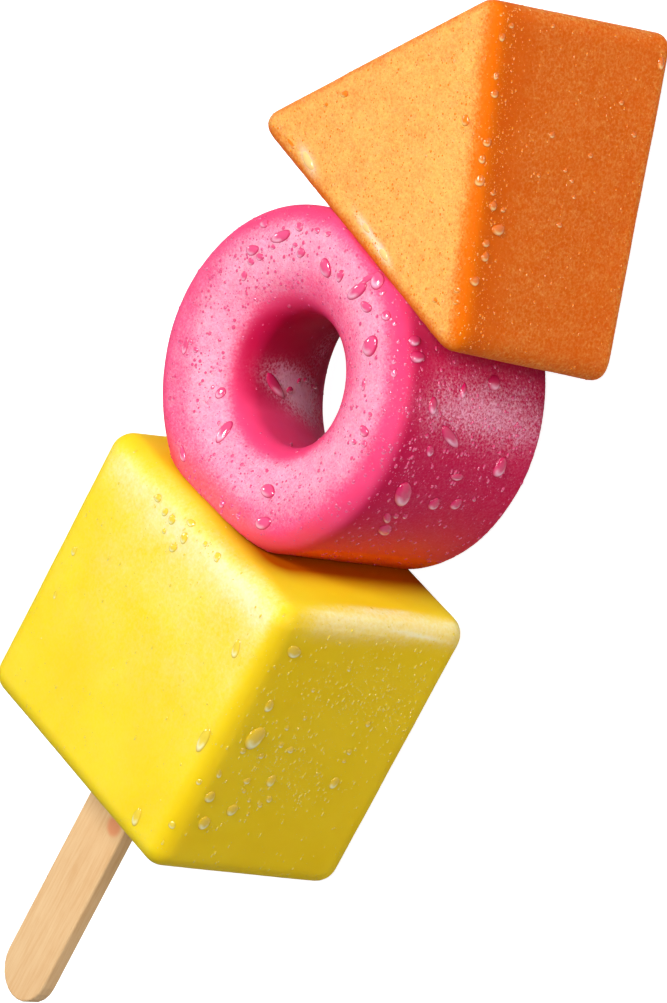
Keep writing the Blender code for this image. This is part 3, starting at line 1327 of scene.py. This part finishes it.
        # Painted warm bounce from the block near its head.
        painted_warm_bounce = 0.45 * smooth(above, *self.warm_reach) * (1 - wall)
        # Painted shade on the lee, the side wall and the hole, less on the hole's lower side.
        edge = np.maximum(np.maximum(painted_lee_shade, wall), (0.8 - 0.6 * low_side) * hole)
        return {
            "edge": edge,
            "frost_and_sheen": plain * (0.22 + 0.36 * band) + 0.05 * wall,
            "grit": 0.45 + 0.55 * (1 - front),
            # Painted bounce, and a painted reflection of the block on the lower side wall.
            "painted_light_and_shade": painted_warm_bounce + 0.95 * wall * smooth(above, *self.mirror_reach),
            "beads": (0.4 * plain + 0.2 * outer + 0.08) * (1 - 0.5 * hole),
            # The painted shade, also for the drops.
            "shade": edge,
        }


@dataclass
class Wedge(IcePiece):
    """The triangular wedge at the lolly's tip."""

    corners: tuple[Vector, ...] = (
        Vector((-0.02977, 0.09161)),
        Vector((0.02480, 0.08453)),
        Vector((0.00307, 0.13283)),
    )
    corner_radii: tuple[float, ...] = (0.00244, 0.00325, 0.00276)
    depth: float = 0.03158
    taper: float = 0.84
    lean: Vector = Vector((-0.027, 0.005))
    front_slope: Vector = Vector((-0.072, 0.070))
    rim_rounding: float = 0.0024
    beyond: float = 0.0020
    slab: float = 0.0446
    front_fade: Pair = (0.3 * MM, 2.0 * MM)
    crest_fade: Pair = (0.6 * MM, 3.4 * MM)
    edge_fade: Pair = (1.2 * MM, 3.2 * MM)
    lower_rim: Pair = (0.6 * MM, 2.6 * MM)
    left_rim: Pair = (0.4 * MM, 2.2 * MM)
    right_rim: Pair = (0.2 * MM, 3.8 * MM)
    beside_band: Pair = (3.0 * MM, 2.6 * MM)
    side_frost: Pair = (2.5 * MM, 9.0 * MM)
    far_rim: Pair = (0.8 * MM, 3.2 * MM)
    far_start: Pair = (2.0 * MM, 6.0 * MM)

    @property
    def middle(self) -> Vector:
        """The middle of the wedge's back."""
        return sum(self.corners, Vector((0.0, 0.0))) / 3

    def at(self, corner: Vector, z: float) -> Vector:
        """Return where the side edge through a back corner is at a depth."""
        return self.middle + (corner - self.middle) * (1 - self.taper * z) + self.lean * z

    def front_z(self, point: Vector) -> float:
        """Return the depth of the sloping front above a point."""
        return self.depth + self.front_slope.dot(point - self.middle)

    def rows(self) -> tuple[list[Vector], list[Vector]]:
        """Return the corners of the back and of the front."""
        lower = [Vector((*corner, 0.0)) for corner in self.corners]
        heights = [self.front_z(corner) for corner in self.corners]
        upper = [Vector((*self.at(foot, z), z)) for foot, z in zip(self.corners, heights)]
        return lower, upper

    def shape(self, origin: Vector) -> bpy.types.Object:
        """Build the rounded wedge."""
        lower, upper = self.rows()
        shape = loft(lower, upper)

        def rise(edge: bmesh.types.BMEdge) -> float:
            """Return how far an edge climbs."""
            return abs(edge.verts[0].co.z - edge.verts[1].co.z)

        for foot, radius in zip(lower, self.corner_radii):
            side = min(
                (edge for edge in shape.edges if rise(edge) > self.depth / 2),
                key=lambda edge: min((vert.co - foot).length for vert in edge.verts),
            )
            round_edges(shape, [side], radius * math.tan(side.calc_face_angle() / 2))
        rims = [edge for edge in shape.edges if rise(edge) < self.depth / 2]
        round_edges(shape, rims, self.rim_rounding)
        return to_object(self.name, shape, Matrix.Translation(origin))

    def ring_tool(self, origin: Vector, overlap: float) -> bpy.types.Object:
        """Make the slab that ends just inside the wedge's side that faces the ring."""
        pair = self.corners[:2]
        rows = []
        for levels in ((-self.depth,) * 2, [self.front_z(foot) + self.beyond for foot in pair]):
            ends = [self.at(foot, z) for foot, z in zip(pair, levels)]
            along = (ends[1] - ends[0]).normalized()
            inward = Vector((-along.y, along.x))
            near = [end + inward * overlap for end in ends]
            far = [end + inward * self.slab for end in near]
            outline = zip(near + far[::-1], (*levels, *levels[::-1]))
            rows.append([Vector((*point, z)) for point, z in outline])
        return to_object("top_tool", loft(*rows), Matrix.Translation(origin))

    def planes(self, origin: Vector) -> list[Plane]:
        """Return the wedge's five sides: three round it, then back and front."""
        return loft_planes(*self.rows(), origin)

    def zones(self, skin: Skin, origin: Vector) -> dict[str, np.ndarray]:
        """Frost the front inside its rims and bead the front and its right edge."""
        depths = plane_depths(skin.points, self.planes(origin))
        lower, right, left, front = (depths[:, side] for side in (0, 1, 2, 4))
        sideways = skin.normals[:, 0]
        on_front = 1 - smooth(front, *self.front_fade)
        crest = 1 - smooth(np.maximum(front, 0.8 * right), *self.crest_fade)
        edge = np.maximum(0.15 * edge_nearness(depths, *self.edge_fade), crest)
        inside = smooth(lower, *self.lower_rim, least=0.15)
        inside *= smooth(left, *self.left_rim, least=0.5)
        on_front *= smooth(right, *self.right_rim)
        beside = bell(front, *self.beside_band) * smooth(sideways, 0.2, 0.6)
        frost_and_sheen = 0.59 * on_front * inside + 0.13 * smooth(front, *self.side_frost)
        far_rims = edge_nearness(depths[:, :4], *self.far_rim)
        frost_and_sheen += 0.06 * far_rims * smooth(front, *self.far_start)
        return {
            "edge": edge,
            "frost_and_sheen": frost_and_sheen,
            "grit": 1 - 0.4 * on_front,
            "painted_light_and_shade": np.zeros(len(edge)),
            "beads": 0.6 * on_front + 0.16 * (1 - on_front) + 0.9 * beside,
            # How shaded the right side is, for the drops' painted shade.
            "shade": smooth(sideways, 0.5, 0.9),
        }


@dataclass
class Stick:
    """The flat birch stick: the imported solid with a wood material."""

    node: str
    finish_name: str = "birch"
    shown_length: float = 0.0427
    stain: Spot = Spot(114.0, 826.0, 10.0, 10.0)

    def build(self, shop: Workshop) -> None:
        """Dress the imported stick."""
        item = frame["nodes"][self.node]
        _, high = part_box(self.node)
        at = shop.view.on_plane(
            self.stain.x, self.stain.y, Vector(high), Vector(Facing.FRONT.value)
        )
        finish = BirchFinish(
            name=self.finish_name,
            light=paint(250, 212, 160),
            dark=paint(226, 174, 116),
            stain=paint(236, 156, 106),
            stain_at=at,
        )
        material = finish.material(shop.groups)
        for slot in item.material_slots:
            slot.material = material
        log.info("%s is dressed", item.name)


@dataclass(frozen=True)
class Softbox:
    """A square soft light in a direction from the lolly."""

    name: str
    way: Vector
    power: float
    size: float
    distance: float = 0.75

    def build(self) -> None:
        """Hang the light and aim it at the lolly."""
        light = bpy.data.lights.new(self.name, "AREA")
        light.energy = self.power
        light.size = self.size
        lamp = bpy.data.objects.new(self.name, light)
        toward = self.way.normalized()
        lamp.location = toward * self.distance
        lamp.rotation_euler = toward.to_track_quat("Z", "Y").to_euler()
        bpy.context.scene.collection.objects.link(lamp)


@dataclass
class Studio:
    """The pale floor, the sky and the soft lights."""

    floor_size: float = 6.0
    floor_drop: float = 0.05 * MM
    floor_glow: float = 0.92
    floor_colour: Colour = paint(196, 196, 196)
    sky: float = 0.20
    lights: tuple[Softbox, ...] = (
        Softbox("key", Vector((0.10, 0.48, 0.87)), 4.75, 0.22),
        Softbox("front", Vector((0.52, 0.30, 0.80)), 0.75, 0.10),
        Softbox("fill", Vector((0.80, 0.58, 0.14)), 0.77, 0.13),
        Softbox("rim", Vector((-0.88, -0.12, 0.46)), 0.8, 0.10),
    )

    def build(self) -> None:
        """Make the floor, the sky and the lights."""
        bpy.ops.mesh.primitive_plane_add(size=self.floor_size)
        floor = bpy.context.object
        floor.name = "floor"
        for vert in floor.data.vertices:
            vert.co.z = -self.floor_drop
        floor.data.materials.append(self.floor_material())
        world = bpy.data.worlds.new("studio")
        world.use_nodes = True
        sky = world.node_tree.nodes["Background"]
        sky.inputs["Color"].default_value = WHITE
        sky.inputs["Strength"].default_value = self.sky
        bpy.context.scene.world = world
        for light in self.lights:
            light.build()
        bpy.context.scene.view_settings.view_transform = "Standard"

    def floor_material(self) -> bpy.types.Material:
        """Build the floor, which looks brighter to the camera than to the lolly."""
        material, pad, shader = new_material("pale_floor")
        seen = pad.add("ShaderNodeLightPath").outputs["Is Camera Ray"]
        sockets = {
            "Base Color": (*self.floor_colour, 1.0),
            "Roughness": 0.9,
            "Emission Color": WHITE,
            "Emission Strength": pad.math("MULTIPLY", seen, self.floor_glow),
        }
        pad.fill(shader, sockets)
        return material


BLOCK_DROPS = spots(
    (172, 519.5, 11, 7, 70), (165, 512, 9, 6, 70), (191, 523, 9, 8, 0),
    (184, 538, 13, 7, 70), (173, 548, 9, 8, 20), (158, 498, 9, 7, 70),
    (205, 544, 6, 5, 70), (217, 557, 10, 7, 70), (164, 531, 7, 4, 80),
    (236, 649, 21, 7, 75), (294, 652, 14, 13, 40), (269, 706, 14, 8, 65),
    (255, 738, 26, 15, 50), (203, 740, 27, 10, 65), (271, 781, 13, 8, 50),
    (290.5, 750, 8, 6, 50), (243, 751, 7, 6, 50), (334, 783, 13, 8, 50),
    (210, 797, 13, 9, 45), (232, 810, 14, 9, 50), (204, 823, 16, 10, 50),
    (219, 774, 10, 5, 80), (199, 782, 7, 6, 50), (260, 805, 6, 5, 50),
    (269, 799, 8, 6, 60), (249, 800, 5, 4, 60), (248, 814, 5, 3, 60),
    (244, 791, 5, 4, 60), (247, 781, 8, 6, 40), (261, 756, 7, 5, 50),
    (172, 825, 8, 8, 45), (136.5, 817, 19, 8, 72), (349, 752, 7, 5, 60),
    (368, 724, 7, 5, 60), (349, 669, 6, 4, 70), (344, 761, 5, 4, 50),
    (74, 551, 10, 5, 75), (55, 595, 9, 3, 75), (281, 745, 7, 5, 50),
    (287, 728, 6, 4, 60), (305, 718, 5, 4, 60), (313, 690, 5, 4, 60),
)

RING_DROPS = spots(
    (299, 227, 9, 8, 80), (281, 236.5, 21, 11, 30), (301, 253, 10, 8, 75),
    (325.6, 268, 20, 11, 97), (340, 276, 13, 7, 70), (357, 291, 23, 12, 42),
    (378, 279.5, 23, 13, 60), (364, 281, 32, 6, 38), (366, 307, 13, 10, 140),
    (386, 315.7, 11, 9.5, 80), (394.5, 323.5, 6, 5, 90), (370.3, 346, 22, 14, 75),
    (415, 340.7, 14, 11, 0), (418, 357, 16, 12, -10), (220.6, 393, 14, 9, 50),
    (185.3, 346, 19, 5, 76), (252.5, 250, 14, 10, 20), (260, 257, 8, 8, 0),
    (251, 262, 7, 7, 0), (244, 276, 11, 6, 80), (264.5, 223.6, 10, 7, 55),
    (273, 247, 6, 5, 30), (295, 245, 6, 5, 30), (328, 234, 7, 5, 30),
    (317, 230.5, 7, 6, 60), (382.5, 293, 8, 5, 30), (275, 386, 30, 10, -57),
    (306, 380, 5, 5, 0), (299, 381, 6, 4, 80), (314.5, 387, 7, 5, -30),
    (290, 390, 7, 7, 0), (195.6, 350, 6, 6, 0), (191, 342, 6, 4, 80),
    (363.5, 385, 13, 4, 84), (364, 431, 12, 9, 110), (364, 444, 7, 6, 90),
    (354, 442, 6, 5, 90), (370, 414.5, 5, 5, 0), (394, 361.5, 6, 6, 0),
    (394, 373, 10, 7, 80), (388, 381.4, 5, 5, 0), (433, 406, 20, 8, 82),
    (463.5, 391, 16, 6, 80), (494, 383, 16, 12, 95), (450, 437, 25, 12, -55),
    (430, 451, 12, 7, 80), (500, 467.6, 21, 11, 62), (403, 494, 25, 16, 70),
    (434, 504, 14, 9, 40), (456, 504, 14, 8, 40), (474, 499, 6, 4, 80),
    (457, 477, 13, 7, 10), (387, 518, 10, 8, 60), (396, 516, 6, 5, 40),
    (405, 516.5, 6, 4, 40), (385, 530, 15, 9, 15), (511, 503, 12, 7, 58),
    (182.7, 454, 17, 6, 97), (224, 431.5, 27, 10, 56), (268, 491, 15, 14, 0),
    (263, 523, 17, 13, 10), (222, 504, 9, 5, 80), (238, 516, 5, 4, 80),
    (291, 445, 5, 4, 80), (472, 438, 6, 3, 80), (427, 436, 5, 4, 60),
)

WEDGE_DROPS = spots(
    (465.6, 120.5, 12, 8, 80), (494.5, 94, 9, 8, 70), (487, 142.3, 10, 9, 70),
    (482, 159, 10, 8, 70), (479.6, 180.6, 13, 11, 70), (493, 193, 6, 5, 70),
    (493, 206, 10, 8, 70), (503, 210, 6, 5, 70), (498.3, 229.8, 13, 12, 40),
    (486, 243.4, 9, 7, 70), (485, 257, 10, 8, 70), (474.6, 281, 11, 10, 40),
    (457, 289.6, 7, 7, 0), (456, 302, 7, 6, 0), (460, 268, 5, 4, 80),
    (344.6, 94, 8, 7, 40), (326, 105, 5, 4, 40), (502, 37.3, 9, 7, 60),
    (511.6, 25.6, 6, 6, 0), (496, 76, 8, 6, 70), (661, 63.5, 14, 6, 84),
    (552, 135, 7, 6, 60), (590.4, 155.5, 6, 5, 60), (621.5, 102.7, 6, 5, 60),
    (634, 135, 6, 5, 80), (538.7, 175.4, 5, 4, 60), (572, 181, 5, 4, 60),
    (574, 197, 5, 4, 60), (559.4, 225, 6, 6, 60), (565.6, 170.4, 5, 4, 60),
    (435, 300, 6, 5, 60), (553, 26, 5, 4, 60), (308, 161, 20, 8, -62),
    (384, 255, 15, 6, -58), (366, 228, 12, 5, -56), (291, 144, 12, 4, -58),
)

# Each rim colour is painted shade and each glow colour is painted light.
YELLOW_WATER = WaterFinish(
    name="water_on_yellow",
    rim=paint(226, 184, 12),
    body=paint(250, 224, 78),
    painted_glow=paint(255, 250, 190),
)
PINK_WATER = WaterFinish(
    name="water_on_pink",
    rim=paint(206, 20, 88),
    body=paint(248, 98, 150),
    painted_glow=paint(255, 190, 216),
)
AMBER_WATER = WaterFinish(
    name="water_on_amber",
    rim=paint(222, 104, 4),
    body=paint(250, 138, 18),
    painted_glow=paint(255, 214, 138),
)

YELLOW_ICE = IceFinish(
    name="lemon_ice",
    deep=(0.94, 0.65, 0.003),
    body=(1.0, 0.73, 0.016),
    edge=(0.92, 0.65, 0.003),
    # Cream of the frosty cover and of its painted highlights.
    frost_and_sheen=paint(255, 250, 210),
    # Dark amber of the painted shadow under the ring and of the painted shade on the right side.
    painted_light_and_shade=(0.42, 0.080, 0.0005),
    grain=0.45 * MM,
    clump=7.0 * MM,
    contrast=1.2,
    softness=1.1,
    glow=(1.0, 0.7, 0.05),
)
PINK_ICE = IceFinish(
    name="pink_ice",
    deep=(0.93, 0.050, 0.18),
    body=(0.95, 0.080, 0.24),
    # Dark crimson of the painted shade on the ring's lee, side wall and hole.
    edge=(0.60, 0.007, 0.074),
    # Pale pink of the frosty cover and of its painted sheen.
    frost_and_sheen=paint(255, 186, 212),
    # Orange of the painted bounce and reflection from the block.
    painted_light_and_shade=(0.88, 0.110, 0.006),
    grain=0.30 * MM,
    clump=4.0 * MM,
    contrast=1.8,
    mottle=0.45,
    softness=1.1,
    glow=(1.0, 0.06, 0.15),
)
AMBER_ICE = IceFinish(
    name="apricot_ice",
    deep=(0.68, 0.102, 0.002),
    body=(0.73, 0.124, 0.005),
    edge=(0.80, 0.152, 0.0005),
    frost_and_sheen=paint(255, 200, 108),
    # Pale cream of the painted glints.
    painted_light_and_shade=paint(255, 244, 222),
    grain=0.34 * MM,
    clump=3.0 * MM,
    contrast=1.5,
    mottle=0.4,
    softness=1.1,
    glow=(1.0, 0.25, 0.02),
)


def pieces() -> list[IcePiece]:
    """Return the three ice pieces, from the foot to the tip."""
    block = Block(
        name="lemon_block",
        node="yellow_block",
        finish=YELLOW_ICE,
        water=YELLOW_WATER,
        beads=BeadRule(
            3.4e6, 0.32 * MM, 0.12 * MM, 0.42 * MM, rarity=3.5, stretch=1.3,
            rim_share=0.0, steepness=0.30, seed=3,
        ),
        drops=BLOCK_DROPS,
        # Painted cream highlights along the upper front edge and thin ones along the top right
        # crest.
        frost_and_sheen_spots=spots(
            (138, 475, 90, 40, -42, 0.10),
            (245, 585, 90, 34, -42, 0.22),
            (382, 611, 84, 5, -6, 0.45),
            (419, 636, 50, 5, -12, 0.45),
        ),
        bead_spots=spots(
            (365, 690, 150, 80, -20, 0.8),
            (290, 770, 90, 70, -30, 0.9),
            (190, 530, 110, 30, -40, 0.25),
        ),
        seed=5,
    )
    wedge = Wedge(
        name="apricot_wedge",
        node="amber_wedge",
        finish=AMBER_ICE,
        water=AMBER_WATER,
        beads=BeadRule(
            4.6e6, 0.27 * MM, 0.12 * MM, 0.42 * MM, rarity=5.0, stretch=0.5,
            rim_share=0.0, rim_depth=0.4, seed=8,
        ),
        drops=WEDGE_DROPS,
        frost_and_sheen_spots=spots((425, 205, 210, 120, 62, 0.06)),
        # Painted pale glints along the lower left edge.
        painted_light_spots=spots(
            (308, 160, 26, 8, -62, 0.8),
            (366, 228, 34, 6, -56, 0.7),
            (382, 252, 26, 6, -58, 0.8),
        ),
        # Drops in the painted glints turn pale.
        drop_gleam=1.2,
        seed=9,
    )
    ring = Ring(
        name="pink_ring_ice",
        node="pink_ring",
        finish=PINK_ICE,
        water=PINK_WATER,
        beads=BeadRule(3.6e6, 0.3 * MM, 0.12 * MM, 0.62 * MM, rarity=5.0, stretch=0.5, seed=4),
        drops=RING_DROPS,
        # Frosty patches with painted sheen: on the front, on the side wall by the wedge, in the
        # hole.
        frost_and_sheen_spots=spots(
            (196, 395, 120, 44, 80, 0.12),
            (290, 236, 130, 40, 10, 0.08),
            (458, 407, 84, 54, -8, 0.30),
            (508, 418, 80, 60, -8, 0.34),
            (290, 382, 46, 28, -25, 0.75),
            (304, 402, 40, 24, -30, 0.75),
            (326, 346, 24, 18, 20, 0.25),
        ),
        # Painted orange reflection of the block along the ring's lower side.
        painted_light_spots=spots(
            (388, 562, 108, 25, -6, 0.8),
            (330, 549, 90, 18, -8, 0.4),
        ),
        bead_spots=spots(
            (262, 262, 110, 70, 40, 1.0),
            (200, 352, 130, 38, 80, 1.0),
            (402, 430, 190, 40, 78, 1.0),
            (275, 500, 150, 44, -25, 1.0),
            (488, 430, 120, 110, 0, 0.6),
        ),
        seed=7,
        seat=block,
        top=wedge,
    )
    return [block, ring, wedge]


def main() -> None:
    """Build the studio, the ice pieces and the stick."""
    logging.basicConfig(level=logging.INFO, format="%(message)s")
    low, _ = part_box("yellow_block")
    foot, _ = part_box("wooden_stick")
    origin = Vector((low[0] + Block.width / 2, foot[1] + Stick.shown_length, 0.0))
    view = PhotoView(origin)
    view.camera()
    Studio().build()
    shop = Workshop(view, ShaderGroups.build(), ShapeTrees.build())
    for piece in pieces():
        piece.build(shop)
    Stick("wooden_stick").build(shop)


if __name__ == "__main__":
    main()
